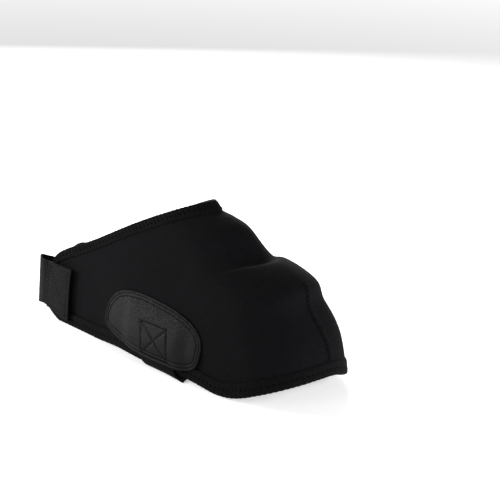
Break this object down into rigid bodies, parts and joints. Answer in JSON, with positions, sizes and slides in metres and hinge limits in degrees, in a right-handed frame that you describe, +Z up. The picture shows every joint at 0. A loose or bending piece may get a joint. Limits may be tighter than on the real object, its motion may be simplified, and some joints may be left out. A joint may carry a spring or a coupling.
{
  "type": "ski boot cover",
  "caption": "Black neoprene cover for the toe and instep of a ski boot, with bound edges, grained side patches and webbing around the heel and under the foot.",
  "frame": {"origin": "on the floor, under the middle of the bounding box", "axes": "+X to the toe, +Y to the inner side of the foot, +Z up"},
  "size_m": [0.3174, 0.1149, 0.1363],
  "materials": {
    "neoprene": "matte",
    "binding_tape": "matte",
    "grained_patch": "satin",
    "webbing": "matte",
    "loop_fabric": "matte"
  },
  "bodies": {
    "root": {"upper_shell": "neoprene", "collar_binding": "binding_tape", "hem_binding": "binding_tape", "toe_seam": "neoprene", "patch_lateral": "grained_patch", "patch_medial": "grained_patch", "heel_strap": "webbing", "strap_tab": "webbing", "loop_pad": "loop_fabric", "underfoot_strap": "webbing"}
  },
  "joints": []
}
